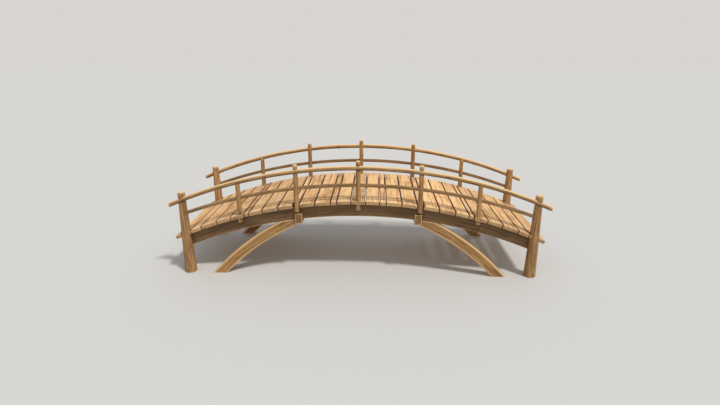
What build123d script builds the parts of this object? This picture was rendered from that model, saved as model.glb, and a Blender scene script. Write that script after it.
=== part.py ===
from build123d import *
import math
import os

# A timber moon bridge: an arched footbridge that stands on four end posts and
# four curved struts. Lengths are in millimetres. X runs along the bridge, Y
# across it and Z up from the ground, with the middle of the bridge over the
# origin. The back railing is at +Y; the front one is its mirror image.

# Overall sizes
POST_SPACING = 7000.0       # between the axes of the two end posts of a side
DECK_HALF_WIDTH = 1088.0    # middle line to the ends of the boards
DECK_APEX = 1512.0          # underside of the boards at midspan
DECK_RADIUS = 9033.0        # of the arch that the boards lie on

# Boards
BOARD_THICKNESS = 72.0
BOARD_GAP = 18.0
CENTRE_BOARD = 282.0
# Widths from the centre board outwards, gap middle to gap middle; all are
# stretched alike where the deck's length asks for it
BOARD_WIDTHS = (274.0, 127.0, 309.0, 306.0, 124.0, 305.0, 319.0, 277.0,
                104.0, 279.0, 309.0, 339.0, 237.0, 351.0)
TALL_BOARD = 4              # place in the list of the board cut short at a tall post
SHORT_BOARD = 9             # place in the list of the board a short post goes through
SHORT_POST_SHARE = 0.36     # of that board's width, from its inner edge to the post
DECK_PAST_POST = 207.0      # end post axis to the end of the deck, along the arch
MORTISE_CLEARANCE = 5.0     # between a post and the board round it

# Places of the posts across the bridge
END_POST_INSET = 70.0       # board ends to the end posts' axes
RAILING_INSET = 56.0        # board ends to the axes of the posts between them

# Girders
GIRDER_THICKNESS = 110.0
GIRDER_DEPTH = 271.0        # at midspan
GIRDER_FLATTER = 36.0       # radius of the underside over that of the boards' arch
GIRDER_PAST_POST = 60.0     # girder end past the end post axis
POST_FLAT = 4.0             # depth of the flat where a post stands against a girder

# Crossbeams
CROSSBEAM_WIDTH = 136.0
CROSSBEAM_HEIGHT = 205.0
CROSSBEAM_FROM_POST = 30.0  # its middle to the tall post's axis, towards midspan
CROSSBEAM_DROP = 71.0       # depth that shows below the girders
CROSSBEAM_COG = 68.0        # depth let up into each girder
CROSSBEAM_PAST_GIRDER = 65.0

# Struts: concentric arcs in a plane that leans out towards the foot
STRUT_RADIUS = 4872.0       # outer arc
STRUT_DEPTH = 213.0
STRUT_THICKNESS = 120.0
STRUT_EDGE = 30.0           # width of the sloping faces along its four long edges
STRUT_FOOT_INSET = 499.0    # outer arc on the ground to the end post's axis
STRUT_INTO_GIRDER = 111.0   # outer arc over the girder's underside at the crossbeam
STRUT_SPLAY = 128.0         # foot out from the girder's face

# End posts: tapered round logs
END_POST_FOOT_RADIUS = 121.0
END_POST_TOP_RADIUS = 68.0
END_POST_PAST_RAIL = 160.5  # top over the top rail's axis

# Posts between them
POST_FOOT_RADIUS = 51.0
POST_TOP_RADIUS = 43.0
TALL_POST_PAST_RAIL = 133.5
CENTRE_POST_PAST_RAIL = 139.0
TALL_POST_STUB = 87.0       # foot below the boards' arch
CENTRE_POST_STUB = 117.0
SHORT_POST_STUB = 82.5

# Railing
TOP_RAIL_RADIUS = 46.0
TOP_RAIL_RISE = 726.0       # axis over the boards' arch at midspan
TOP_RAIL_FLATTER = 397.0    # radius of the axis over that of the boards' arch
TOP_RAIL_OUT = 8.0          # axis out from the posts' axes
TOP_RAIL_PAST_POST = 265.0
RAIL_SEAT_OUT = 4.0         # flat where rail and post are halved together, likewise
MID_RAIL_DEPTH = 66.0
MID_RAIL_THICKNESS = 44.0
MID_RAIL_RISE = 384.0
MID_RAIL_FLATTER = 1025.0
MID_RAIL_OUT = 2.0

# Round timbers are drawn with flat sides
END_POST_SIDES = 24
POST_SIDES = 16
RAIL_SIDES = 16

FAR = 6000.0                # longer than anything in the bridge


def arch_z(apex, radius, x):
    """Height of an arch with the given apex and radius at x."""
    return apex - radius + math.sqrt(radius * radius - x * x)


def deck_point(arc_length):
    """Point on the boards' arch at a distance along it from the apex."""
    angle = arc_length / DECK_RADIUS
    return (DECK_RADIUS * math.sin(angle),
            DECK_APEX - DECK_RADIUS + DECK_RADIUS * math.cos(angle))


# Gaps between the boards, as distances along their arch from the apex

HALF_SPAN = POST_SPACING / 2
DECK_END = DECK_RADIUS * math.asin(HALF_SPAN / DECK_RADIUS) + DECK_PAST_POST
STRETCH = (DECK_END - CENTRE_BOARD / 2) / sum(BOARD_WIDTHS)
EDGES = [CENTRE_BOARD / 2]
for width in BOARD_WIDTHS:
    EDGES.append(EDGES[-1] + width * STRETCH)


def along_board(number, share):
    """X of a place on a board, as a share of its width from its inner edge."""
    low = EDGES[number]
    return deck_point(low + (EDGES[number + 1] - low) * share)[0]


# Sizes that follow from those above

TALL_POST_X = along_board(TALL_BOARD, 0.5)
SHORT_POST_X = along_board(SHORT_BOARD, SHORT_POST_SHARE)
END_POST_Y = DECK_HALF_WIDTH - END_POST_INSET
RAILING_Y = DECK_HALF_WIDTH - RAILING_INSET

GIRDER_FACE_Y = RAILING_Y - POST_FOOT_RADIUS + POST_FLAT
GIRDER_INNER_Y = GIRDER_FACE_Y - GIRDER_THICKNESS
GIRDER_APEX = DECK_APEX - GIRDER_DEPTH
GIRDER_RADIUS = DECK_RADIUS + GIRDER_FLATTER

CROSSBEAM_X = TALL_POST_X - CROSSBEAM_FROM_POST
CROSSBEAM_OUTER_X = CROSSBEAM_X + CROSSBEAM_WIDTH / 2
CROSSBEAM_BOTTOM = arch_z(GIRDER_APEX, GIRDER_RADIUS, CROSSBEAM_X) - CROSSBEAM_DROP
CROSSBEAM_HALF_LENGTH = GIRDER_FACE_Y + CROSSBEAM_PAST_GIRDER
COG_SEAT = CROSSBEAM_BOTTOM + CROSSBEAM_DROP + CROSSBEAM_COG

TOP_RAIL_Y = RAILING_Y + TOP_RAIL_OUT
TOP_RAIL_APEX = DECK_APEX + TOP_RAIL_RISE
TOP_RAIL_ARCH = DECK_RADIUS + TOP_RAIL_FLATTER
TOP_RAIL_END = HALF_SPAN + TOP_RAIL_PAST_POST
RAIL_SEAT_Y = RAILING_Y + RAIL_SEAT_OUT
MID_RAIL_Y = RAILING_Y + MID_RAIL_OUT
MID_RAIL_APEX = DECK_APEX + MID_RAIL_RISE
MID_RAIL_ARCH = DECK_RADIUS + MID_RAIL_FLATTER


def rail_z(x):
    """Height of the top rail's axis."""
    return arch_z(TOP_RAIL_APEX, TOP_RAIL_ARCH, x)


def deck_z(x):
    """Height of the boards' arch."""
    return arch_z(DECK_APEX, DECK_RADIUS, x)


END_POST_TOP = rail_z(HALF_SPAN) + END_POST_PAST_RAIL
TALL_POST_TOP = rail_z(TALL_POST_X) + TALL_POST_PAST_RAIL
CENTRE_POST_TOP = TOP_RAIL_APEX + CENTRE_POST_PAST_RAIL
SHORT_POST_TOP = rail_z(SHORT_POST_X)
TALL_POST_FOOT = deck_z(TALL_POST_X) - TALL_POST_STUB
CENTRE_POST_FOOT = DECK_APEX - CENTRE_POST_STUB
SHORT_POST_FOOT = deck_z(SHORT_POST_X) - SHORT_POST_STUB


def flat_piece(outline, y_low, y_high):
    """Solid between two Y values from a closed list of edges in XZ."""
    face = make_face(outline)
    face = face.moved(Location((0, y_low, 0)))
    return extrude(face, amount=y_high - y_low, dir=(0, 1, 0))


def line(start, end):
    return Edge.make_line((start[0], 0, start[1]), (end[0], 0, end[1]))


def arch_edge(apex, radius, x_start, x_end):
    """Edge along an arch between two x values."""
    x_mid = (x_start + x_end) / 2
    points = [(x, 0, arch_z(apex, radius, x)) for x in (x_start, x_mid, x_end)]
    return Edge.make_three_point_arc(*points)


def arch_band(apex_low, radius_low, apex_high, radius_high, half, y_low, y_high):
    """Solid between two arches, cut upright at x = -half and x = half."""
    low_z = arch_z(apex_low, radius_low, half)
    high_z = arch_z(apex_high, radius_high, half)
    outline = [
        arch_edge(apex_low, radius_low, -half, half),
        line((half, low_z), (half, high_z)),
        arch_edge(apex_high, radius_high, half, -half),
        line((-half, high_z), (-half, low_z)),
    ]
    return flat_piece(outline, y_low, y_high)


def arched_bar(section, y, apex, radius, half):
    """Bar of one section bent along an arch from x = -half to x = half."""
    angle = math.degrees(math.asin(half / radius))
    axis = Axis((0, y, apex - radius), (0, 1, 0))
    plane = Plane(origin=(0, y, apex), x_dir=(0, 1, 0), z_dir=(1, 0, 0))
    start = (plane * section).rotate(axis, -angle)
    return revolve(start, axis, 2 * angle)


def block(x_low, x_high, y_low, y_high, z_low, z_high):
    """Upright block between the given limits."""
    size = Box(x_high - x_low, y_high - y_low, z_high - z_low)
    centre = ((x_low + x_high) / 2, (y_low + y_high) / 2, (z_low + z_high) / 2)
    return Location(centre) * size


def round_outline(radius, sides):
    """Round section drawn with flat sides, one of them facing along Y."""
    return RegularPolygon(radius, sides, rotation=180 / sides)


def taper(x, y, z_low, z_high, radius_low, radius_high, sides):
    """Round upright log that tapers towards its top."""
    low = Plane.XY.offset(z_low) * round_outline(radius_low, sides)
    high = Plane.XY.offset(z_high) * round_outline(radius_high, sides)
    log = loft(Sketch() + [low, high], ruled=True)
    return Location((x, y, 0)) * log


def mirrored_x(shape):
    return mirror(shape, about=Plane.YZ)


def mirrored_y(shape):
    return mirror(shape, about=Plane.XZ)


def save(shape, name):
    """Write one named piece."""
    export_step(shape, f"parts/{name}.step")


# Boards: each lies flat on the chord between the middles of its two gaps

def board(arc_low, arc_high, half_back, half_front):
    """Flat board on the chord between two distances along the arch."""
    x_low, z_low = deck_point(arc_low)
    x_high, z_high = deck_point(arc_high)
    chord = math.hypot(x_high - x_low, z_high - z_low)
    tilt = math.degrees(math.atan2(z_low - z_high, x_high - x_low))
    slab = Box(chord - BOARD_GAP, half_back + half_front, BOARD_THICKNESS,
               align=(Align.CENTER, Align.MIN, Align.MIN))
    place = Location(((x_low + x_high) / 2, -half_front, (z_low + z_high) / 2),
                     (0, tilt, 0))
    return place * slab


def unevenness(number):
    """Small change in a board's half length, so that the ends do not line up."""
    return 9.0 * math.sin(2.4 * number + 0.7)


def side_board(number):
    """Board on the +X side by its place in the list."""
    half_back = DECK_HALF_WIDTH + unevenness(number)
    half_front = DECK_HALF_WIDTH + unevenness(number + 20)
    if number == TALL_BOARD:
        half_back = RAILING_Y - POST_FOOT_RADIUS - MORTISE_CLEARANCE
        half_front = half_back
    return board(EDGES[number], EDGES[number + 1], half_back, half_front)


# Girders: the upper edge is planed in flats, one for each board

def girder_outline():
    """Closed outline of a girder in XZ."""
    half = HALF_SPAN + GIRDER_PAST_POST
    flats = [deck_point(arc) for arc in EDGES if deck_point(arc)[0] < half]
    before = flats[-1]
    after = deck_point(EDGES[len(flats)])
    share = (half - before[0]) / (after[0] - before[0])
    flats.append((half, before[1] + share * (after[1] - before[1])))
    top = flats[::-1] + [(-x, z) for x, z in flats]
    low_z = arch_z(GIRDER_APEX, GIRDER_RADIUS, half)
    outline = [arch_edge(GIRDER_APEX, GIRDER_RADIUS, -half, half)]
    outline.append(line((half, low_z), top[0]))
    for start, end in zip(top, top[1:]):
        outline.append(line(start, end))
    outline.append(line(top[-1], (-half, low_z)))
    return outline


girder_full = flat_piece(girder_outline(), GIRDER_INNER_Y, GIRDER_FACE_Y)
girder = girder_full
for side in (-1, 1):
    middle = side * CROSSBEAM_X
    girder -= block(middle - CROSSBEAM_WIDTH / 2, middle + CROSSBEAM_WIDTH / 2, 0, FAR, 0, COG_SEAT)


# Crossbeams: halved where the girders cross them

crossbeam = block(CROSSBEAM_OUTER_X - CROSSBEAM_WIDTH, CROSSBEAM_OUTER_X,
                  -CROSSBEAM_HALF_LENGTH, CROSSBEAM_HALF_LENGTH,
                  CROSSBEAM_BOTTOM, CROSSBEAM_BOTTOM + CROSSBEAM_HEIGHT)
for y_low, y_high in ((GIRDER_INNER_Y, GIRDER_FACE_Y), (-GIRDER_FACE_Y, -GIRDER_INNER_Y)):
    crossbeam -= block(CROSSBEAM_X - CROSSBEAM_WIDTH, CROSSBEAM_X + CROSSBEAM_WIDTH,
                       y_low, y_high, COG_SEAT, COG_SEAT + 2 * CROSSBEAM_HEIGHT)


# Struts: arched braces from the ground up under the girders

def circle_centre(start, end, radius):
    """Centre of the circle through two points that bulges away from the origin."""
    chord_x = end[0] - start[0]
    chord_t = end[1] - start[1]
    chord = math.hypot(chord_x, chord_t)
    away = math.sqrt(radius ** 2 - chord ** 2 / 4)
    return ((start[0] + end[0]) / 2 + chord_t / chord * away,
            (start[1] + end[1]) / 2 - chord_x / chord * away)


STRUT_HEAD_Z = arch_z(GIRDER_APEX, GIRDER_RADIUS, CROSSBEAM_OUTER_X)
STRUT_CENTRE = circle_centre((CROSSBEAM_OUTER_X, STRUT_HEAD_Z + STRUT_INTO_GIRDER),
                             (HALF_SPAN - STRUT_FOOT_INSET, 0), STRUT_RADIUS)


def strut_point(radius, x):
    """Point of one of the strut's arcs, as x and height along the leaning plane."""
    return (x, STRUT_CENTRE[1] + math.sqrt(radius ** 2 - (x - STRUT_CENTRE[0]) ** 2))


def strut_arc(radius, x_start, x_end):
    points = [strut_point(radius, x) for x in (x_start, (x_start + x_end) / 2, x_end)]
    return Edge.make_three_point_arc(*[(x, 0, t) for x, t in points])


def below_ground_x(radius):
    """X where one of the strut's arcs has come well below the ground."""
    return STRUT_CENTRE[0] + math.sqrt(radius ** 2 - (STRUT_CENTRE[1] + STRUT_DEPTH) ** 2)


def make_strut():
    """Strut at +X, +Y."""
    inner = STRUT_RADIUS - STRUT_DEPTH
    x_head = CROSSBEAM_OUTER_X
    x_outer = below_ground_x(STRUT_RADIUS)
    x_inner = below_ground_x(inner)
    outline = [
        strut_arc(STRUT_RADIUS, x_head, x_outer),
        line(strut_point(STRUT_RADIUS, x_outer), strut_point(inner, x_inner)),
        strut_arc(inner, x_inner, x_head),
        line(strut_point(inner, x_head), strut_point(STRUT_RADIUS, x_head)),
    ]
    strut = flat_piece(outline, -STRUT_THICKNESS, 0)
    long_edges = strut.edges().filter_by(GeomType.CIRCLE)
    strut = chamfer(long_edges, STRUT_EDGE / math.sqrt(2))
    lean = math.degrees(math.atan2(STRUT_SPLAY, STRUT_HEAD_Z))
    strut = strut.rotate(Axis.X, lean)
    strut = strut.moved(Location((0, GIRDER_FACE_Y + STRUT_SPLAY, 0)))
    above = arch_band(GIRDER_APEX, GIRDER_RADIUS, GIRDER_APEX + 2000, GIRDER_RADIUS,
                      HALF_SPAN, 0, FAR)
    strut -= above
    strut -= block(0, FAR, 0, FAR, -FAR, 0)
    return strut


# Railing pieces before they are joined

rail_full = arched_bar(round_outline(TOP_RAIL_RADIUS, RAIL_SIDES), TOP_RAIL_Y,
                       TOP_RAIL_APEX, TOP_RAIL_ARCH, TOP_RAIL_END)
mid_rail = arched_bar(Rectangle(MID_RAIL_THICKNESS, MID_RAIL_DEPTH), MID_RAIL_Y,
                      MID_RAIL_APEX, MID_RAIL_ARCH, HALF_SPAN)
rail_slot = arch_band(TOP_RAIL_APEX - TOP_RAIL_RADIUS, TOP_RAIL_ARCH - TOP_RAIL_RADIUS,
                      TOP_RAIL_APEX + TOP_RAIL_RADIUS, TOP_RAIL_ARCH + TOP_RAIL_RADIUS,
                      TOP_RAIL_END, RAIL_SEAT_Y, FAR)
inner_side = block(-FAR, FAR, 0, RAIL_SEAT_Y, 0, FAR)


def railing_post(x, foot, top):
    """Post that stands between the end posts."""
    return taper(x, RAILING_Y, foot, top, POST_FOOT_RADIUS, POST_TOP_RADIUS, POST_SIDES)


end_post_full = taper(HALF_SPAN, END_POST_Y, 0, END_POST_TOP,
                      END_POST_FOOT_RADIUS, END_POST_TOP_RADIUS, END_POST_SIDES)
tall_post_full = railing_post(TALL_POST_X, TALL_POST_FOOT, TALL_POST_TOP)
centre_post_full = railing_post(0, CENTRE_POST_FOOT, CENTRE_POST_TOP)
short_post_full = railing_post(SHORT_POST_X, SHORT_POST_FOOT, SHORT_POST_TOP)


# Posts: halved with the top rail, mortised for the mid rail, flat on the girder

def joined_post(post):
    return post - rail_slot - mid_rail - girder_full


end_post = joined_post(end_post_full)
tall_post = joined_post(tall_post_full)
centre_post = joined_post(centre_post_full)
short_post = short_post_full - rail_full - mid_rail - girder_full

top_rail = rail_full
for post in (end_post_full, tall_post_full):
    top_rail -= post & inner_side
    top_rail -= mirrored_x(post & inner_side)
top_rail -= centre_post_full & inner_side


# Boards with room for the posts

def post_hole(x, y, z_low, z_high, radius_low, radius_high, sides):
    """Hole for a tapered post, with the mortise clearance all round."""
    return taper(x, y, z_low, z_high, radius_low + MORTISE_CLEARANCE,
                 radius_high + MORTISE_CLEARANCE, sides)


end_hole = post_hole(HALF_SPAN, END_POST_Y, 0, END_POST_TOP,
                     END_POST_FOOT_RADIUS, END_POST_TOP_RADIUS, END_POST_SIDES)
short_hole = post_hole(SHORT_POST_X, RAILING_Y, SHORT_POST_FOOT, SHORT_POST_TOP,
                       POST_FOOT_RADIUS, POST_TOP_RADIUS, POST_SIDES)
centre_hole = post_hole(0, RAILING_Y, CENTRE_POST_FOOT, CENTRE_POST_TOP,
                        POST_FOOT_RADIUS, POST_TOP_RADIUS, POST_SIDES)

centre_board = board(-EDGES[0], EDGES[0], DECK_HALF_WIDTH, DECK_HALF_WIDTH)
centre_board = centre_board - centre_hole - mirrored_y(centre_hole)

LAST = len(BOARD_WIDTHS) - 1
boards = [side_board(number) for number in range(len(BOARD_WIDTHS))]
boards[SHORT_BOARD] = boards[SHORT_BOARD] - short_hole - mirrored_y(short_hole)
boards[LAST] = boards[LAST] - end_hole - mirrored_y(end_hole)

BOARD_NODES = {
    "boards_inner": range(0, TALL_BOARD),
    "board_tall_post": (TALL_BOARD,),
    "boards_middle": range(TALL_BOARD + 1, SHORT_BOARD),
    "board_short_post": (SHORT_BOARD,),
    "boards_outer": range(SHORT_BOARD + 1, LAST),
    "board_end": (LAST,),
}


# Pieces written out

os.makedirs("parts", exist_ok=True)

save(girder, "girder_back")
save(mirrored_y(girder), "girder_front")
save(crossbeam, "crossbeam_right")
save(mirrored_x(crossbeam), "crossbeam_left")
save(top_rail, "top_rail_back")
save(mirrored_y(top_rail), "top_rail_front")
save(mid_rail, "mid_rail_back")
save(mirrored_y(mid_rail), "mid_rail_front")
save(centre_post, "centre_post_back")
save(mirrored_y(centre_post), "centre_post_front")
save(centre_board, "board_centre")

corner_pieces = {
    "strut": make_strut(),
    "end_post": end_post,
    "tall_post": tall_post,
    "short_post": short_post,
}
for name, piece in corner_pieces.items():
    save(piece, f"{name}_back_right")
    save(mirrored_y(piece), f"{name}_front_right")
    save(mirrored_x(piece), f"{name}_back_left")
    save(mirrored_x(mirrored_y(piece)), f"{name}_front_left")

for name, numbers in BOARD_NODES.items():
    group = Compound(children=[boards[number] for number in numbers])
    save(group, f"{name}_right")
    save(mirrored_x(group), f"{name}_left")
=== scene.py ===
"""Looks of a timber moon bridge: worn boards, peeled logs and sawn arches."""

from __future__ import annotations

import logging
import math
import random
from dataclasses import dataclass, field
from enum import Enum
from itertools import accumulate
from typing import Callable, Iterable, Sequence

import bmesh
import bpy
from bpy.types import Material, Mesh, NodeSocket, NodeTree, Object
from mathutils import Euler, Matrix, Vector, noise

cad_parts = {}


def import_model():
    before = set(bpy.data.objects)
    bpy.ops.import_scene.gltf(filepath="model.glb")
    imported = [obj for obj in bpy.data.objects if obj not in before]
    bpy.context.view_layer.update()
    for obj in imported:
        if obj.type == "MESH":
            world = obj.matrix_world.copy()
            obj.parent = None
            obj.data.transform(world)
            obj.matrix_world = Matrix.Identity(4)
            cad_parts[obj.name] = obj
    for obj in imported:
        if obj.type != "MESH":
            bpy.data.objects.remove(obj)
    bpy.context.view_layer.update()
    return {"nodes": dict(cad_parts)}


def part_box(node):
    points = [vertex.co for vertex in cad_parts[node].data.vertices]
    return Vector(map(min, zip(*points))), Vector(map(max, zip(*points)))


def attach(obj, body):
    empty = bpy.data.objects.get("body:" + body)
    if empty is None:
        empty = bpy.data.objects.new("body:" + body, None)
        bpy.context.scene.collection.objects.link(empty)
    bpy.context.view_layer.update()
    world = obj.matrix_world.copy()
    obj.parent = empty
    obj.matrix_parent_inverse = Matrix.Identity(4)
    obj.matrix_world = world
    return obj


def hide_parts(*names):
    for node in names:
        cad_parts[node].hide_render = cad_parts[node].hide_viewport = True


LOG = logging.getLogger("moon_bridge")

Colour = tuple[float, float, float, float]
Triple = tuple[float, float, float]
Nail = tuple[Vector, Vector]

# Short names for the kinds of node that come back most
ATTRIBUTE = "ShaderNodeAttribute"
BACKGROUND = "ShaderNodeBackground"
MATH = "ShaderNodeMath"
MIX = "ShaderNodeMix"
NOISE = "ShaderNodeTexNoise"
RANGE = "ShaderNodeMapRange"
VECTOR = "ShaderNodeVectorMath"


class Place(Enum):
    """A place on the bridge, told by a sign."""

    @property
    def word(self) -> str:
        """Name of the place as it stands in node names."""
        return self.name.lower()


class End(Place):
    """The two ends of the bridge, as signs of X."""

    LEFT = -1
    RIGHT = 1


class Side(Place):
    """The two railings, as signs of Y."""

    FRONT = -1
    BACK = 1


def linear(code: str) -> Colour:
    """Turn an sRGB hex colour into a linear one.

    Args:
        code: Colour as "#RRGGBB".

    Returns:
        Linear red, green and blue, and an alpha of 1.
    """
    values = []
    for start in (1, 3, 5):
        part = int(code[start:start + 2], 16) / 255
        values.append(part / 12.92 if part <= 0.04045 else ((part + 0.055) / 1.055) ** 2.4)
    return (values[0], values[1], values[2], 1.0)


@dataclass(frozen=True)
class Graph:
    """A node tree, and the one way to add a node to it."""

    tree: NodeTree

    def add(self, kind: str, inputs: dict[int | str, object] | None = None, out: int | str = 0,
            **settings: object) -> NodeSocket | None:
        """Add a node, set its properties, and link or set its inputs.

        Args:
            kind: Type name of the node.
            inputs: Input names or places, each with a value or a socket to link.
            out: Name or place of the output that is wanted.
            **settings: Properties of the node and their values.

        Returns:
            That output, or None where the node has no outputs.
        """
        node = self.tree.nodes.new(kind)
        for name, value in settings.items():
            setattr(node, name, value)
        for key, value in (inputs or {}).items():
            if isinstance(value, NodeSocket):
                self.tree.links.new(value, node.inputs[key])
            else:
                node.inputs[key].default_value = value
        return node.outputs[out] if len(node.outputs) else None


# Finishes


@dataclass(frozen=True)
class Finish:
    """What every finish shares: its name, and the way from its look to a material."""

    name: str

    def look(self, graph: Graph) -> dict[str, object]:
        """Inputs of the surface, from nodes that each finish adds itself."""
        raise NotImplementedError

    def layer(self, graph: Graph, value: NodeSocket, under: object, over: object,
              levels: tuple[float, float] = (0.0, 1.0), most: float = 1.0) -> NodeSocket:
        """Lay a colour over another, more of it the higher a value lies between two levels."""
        span = {"Value": value, "From Min": levels[0], "From Max": levels[1], "To Max": most}
        return graph.add(MIX, {0: graph.add(RANGE, span), 6: under, 7: over}, 2, data_type="RGBA")

    def build(self) -> Material:
        """Make the material.

        Returns:
            The finished material.
        """
        material = bpy.data.materials.new(self.name)
        material.use_nodes = True
        material.node_tree.nodes.clear()
        graph = Graph(material.node_tree)
        surface = graph.add("ShaderNodeBsdfPrincipled", self.look(graph))
        graph.add("ShaderNodeOutputMaterial", {"Surface": surface})
        return material


@dataclass(frozen=True)
class WoodFinish(Finish):
    """Dry timber, drawn in the round from the piece's own grain coordinates.

    The grain attribute runs along the fibres in its first part and across the
    trunk in the other two, in metres, so long faces show streaks and sawn ends
    show rings, as one solid piece of wood does.
    """

    pale: str
    middle: str
    dark: str
    stain: str
    # Pale colour of weathered edges and tops, laid over as a painted highlight
    worn: str
    # Colour laid over as painted shade, and as darkening in cracks
    dirt: str = "#43372B"
    ring_mm: float = 8.0
    streak_mm: float = 30.0
    fibre_mm: float = 6.0
    stain_mm: float = 350.0
    streak_levels: Triple = (0.36, 0.49, 0.60)
    wear_strength: float = 0.55
    dark_layer_strength: float = 0.78
    end_grain: float = 0.85
    roughness: float = 0.68
    bump_mm: float = 1.4

    def look(self, graph: Graph) -> dict[str, object]:
        """Draw streaks, stains, rings, fibres, knots and tone, then pale weathering with painted highlight,
        and painted shade with darkening in cracks, over them.

        Args:
            graph: Node graph of the material.

        Returns:
            Inputs of the surface.
        """
        grain = graph.add(ATTRIBUTE, out="Vector", attribute_name="grain")
        tone, wear, dirt = (graph.add(ATTRIBUTE, out="Fac", attribute_name=name)
                            for name in ("tone", "wear", "shade_and_darkening"))
        bent = self.bent(graph, grain)
        sawn_end = self.sawn_end(graph)
        low, middle, high = self.streak_levels
        # Streaks are calmer on sawn ends, where rings show instead
        calm = graph.add(MATH, {0: sawn_end, 1: 0.7}, operation="MULTIPLY")
        streaks = graph.add(MIX, {0: calm, 2: self.along(graph, bent, self.streak_mm, 0.035, 3.0), 3: middle})
        stains = self.along(graph, grain, self.stain_mm, 0.5, 3.0)
        fibres = self.along(graph, grain, self.fibre_mm, 0.018, 2.0)
        rings = self.rings(graph, bent)
        ring_level = graph.add(RANGE, {"Value": sawn_end, "To Min": 0.90, "To Max": 0.62})

        colour = self.layer(graph, streaks, linear(self.dark), linear(self.middle), (low, middle))
        colour = self.layer(graph, streaks, colour, linear(self.pale), (middle, high))
        colour = self.layer(graph, stains, colour, linear(self.stain), (0.50, 0.66), 0.62)
        colour = self.shade(graph, colour, rings, ring_level, 1.03)
        colour = self.shade(graph, colour, fibres, 0.78, 1.17)
        colour = self.shade(graph, colour, self.knots(graph, bent), 0.42, 1.0)
        colour = self.shade(graph, colour, tone, 0.86, 1.10)
        # Pale weathering with a painted highlight on rims, tops and rail tops
        colour = self.layer(graph, wear, colour, linear(self.worn), most=self.wear_strength)
        colour = self.shade(graph, colour, sawn_end, 1.0, self.end_grain)
        # Painted shade in the gaps, under the deck and under the rails, and darkening in cracks
        colour = self.layer(graph, dirt, colour, linear(self.dirt), most=self.dark_layer_strength)

        height = graph.add(MIX, {0: 0.3, 2: fibres, 3: rings})
        bump = graph.add("ShaderNodeBump", {
            "Strength": 0.6, "Distance": self.bump_mm / 1000, "Height": height})
        return {"Base Color": colour, "Roughness": self.roughness, "Specular IOR Level": 0.3, "Normal": bump}

    def shade(self, graph: Graph, colour: NodeSocket, value: NodeSocket, low: object,
              high: float) -> NodeSocket:
        """Multiply a colour by a value that is spread between two levels."""
        level = graph.add(RANGE, {"Value": value, "To Min": low, "To Max": high})
        return graph.add(MIX, {0: 1.0, 6: colour, 7: level}, 2, data_type="RGBA", blend_type="MULTIPLY")

    def along(self, graph: Graph, grain: NodeSocket, across_mm: float, stretch: float,
              detail: float) -> NodeSocket:
        """Noise that is drawn out along the fibres.

        Args:
            graph: Node graph of the material.
            grain: Grain coordinates.
            across_mm: Width of a streak.
            stretch: How slowly it changes along the fibres.
            detail: Octaves of the noise.

        Returns:
            The noise value.
        """
        across = 1000 / across_mm
        place = graph.add(VECTOR, {0: grain, 1: (across * stretch, across, across)}, operation="MULTIPLY")
        return graph.add(NOISE, {"Vector": place, "Scale": 1.0, "Detail": detail, "Roughness": 0.6}, "Fac")

    def bent(self, graph: Graph, grain: NodeSocket) -> NodeSocket:
        """Let the fibres wander a little, as they do along a trunk.

        Args:
            graph: Node graph of the material.
            grain: Grain coordinates.

        Returns:
            Grain coordinates that wander by up to 35 mm.
        """
        slow = graph.add(VECTOR, {0: grain, 1: (1.1, 5.0, 5.0)}, operation="MULTIPLY")
        wander = graph.add(NOISE, {"Vector": slow, "Scale": 1.0, "Detail": 2.0}, "Color")
        centred = graph.add(VECTOR, {0: wander, 1: (0.5, 0.5, 0.5)}, operation="SUBTRACT")
        across = graph.add(VECTOR, {0: centred, 1: (0.0, 0.07, 0.07)}, operation="MULTIPLY")
        return graph.add(VECTOR, {0: grain, 1: across}, operation="ADD")

    def sawn_end(self, graph: Graph) -> NodeSocket:
        """How far a face looks along the fibres.

        Args:
            graph: Node graph of the material.

        Returns:
            A value that is 1 on end grain and 0 on long faces.
        """
        normal = graph.add("ShaderNodeTexCoord", out="Normal")
        fibre = graph.add(ATTRIBUTE, out="Vector", attribute_name="fibre")
        turn = graph.add(VECTOR, {0: normal, 1: fibre}, "Value", operation="DOT_PRODUCT")
        facing = graph.add(MATH, {0: turn}, operation="ABSOLUTE")
        return graph.add(RANGE, {"Value": facing, "From Min": 0.6, "From Max": 0.85})

    def rings(self, graph: Graph, grain: NodeSocket) -> NodeSocket:
        """Year rings round the trunk's middle."""
        return graph.add("ShaderNodeTexWave", {
            "Vector": grain, "Scale": 314.0 / self.ring_mm, "Distortion": 1.2, "Detail": 2.0,
            "Detail Scale": 1.2}, "Fac", wave_type="RINGS", rings_direction="X", wave_profile="SAW")

    def knots(self, graph: Graph, grain: NodeSocket) -> NodeSocket:
        """Scattered knots.

        Args:
            graph: Node graph of the material.
            grain: Grain coordinates.

        Returns:
            A value that is 0 in a knot and 1 away from it.
        """
        place = graph.add(VECTOR, {0: grain, 1: (2.6, 6.0, 6.0)}, operation="MULTIPLY")
        away = graph.add("ShaderNodeTexVoronoi", {"Vector": place, "Scale": 1.0}, "Distance")
        return graph.add(RANGE, {"Value": away, "From Min": 0.05, "From Max": 0.15})


@dataclass(frozen=True)
class ForgedIron(Finish):
    """Forged nail heads, dark and slightly rusted."""

    name: str = "forged_iron"
    iron: str = "#3F352D"
    rust: str = "#6A4A34"
    spot_mm: float = 6.25

    def look(self, graph: Graph) -> dict[str, object]:
        """Draw spots of rust on dark iron.

        Args:
            graph: Node graph of the material.

        Returns:
            Inputs of the surface.
        """
        place = graph.add("ShaderNodeTexCoord", out="Object")
        spots = graph.add(NOISE, {
            "Vector": place, "Scale": 1000 / self.spot_mm, "Detail": 2.0, "Roughness": 0.6}, "Fac")
        colour = self.layer(graph, spots, linear(self.iron), linear(self.rust), (0.4, 0.65))
        bump = graph.add("ShaderNodeBump", {"Strength": 0.4, "Distance": 0.001, "Height": spots})
        return {"Base Color": colour, "Roughness": 0.6, "Metallic": 0.6, "Normal": bump}


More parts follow.
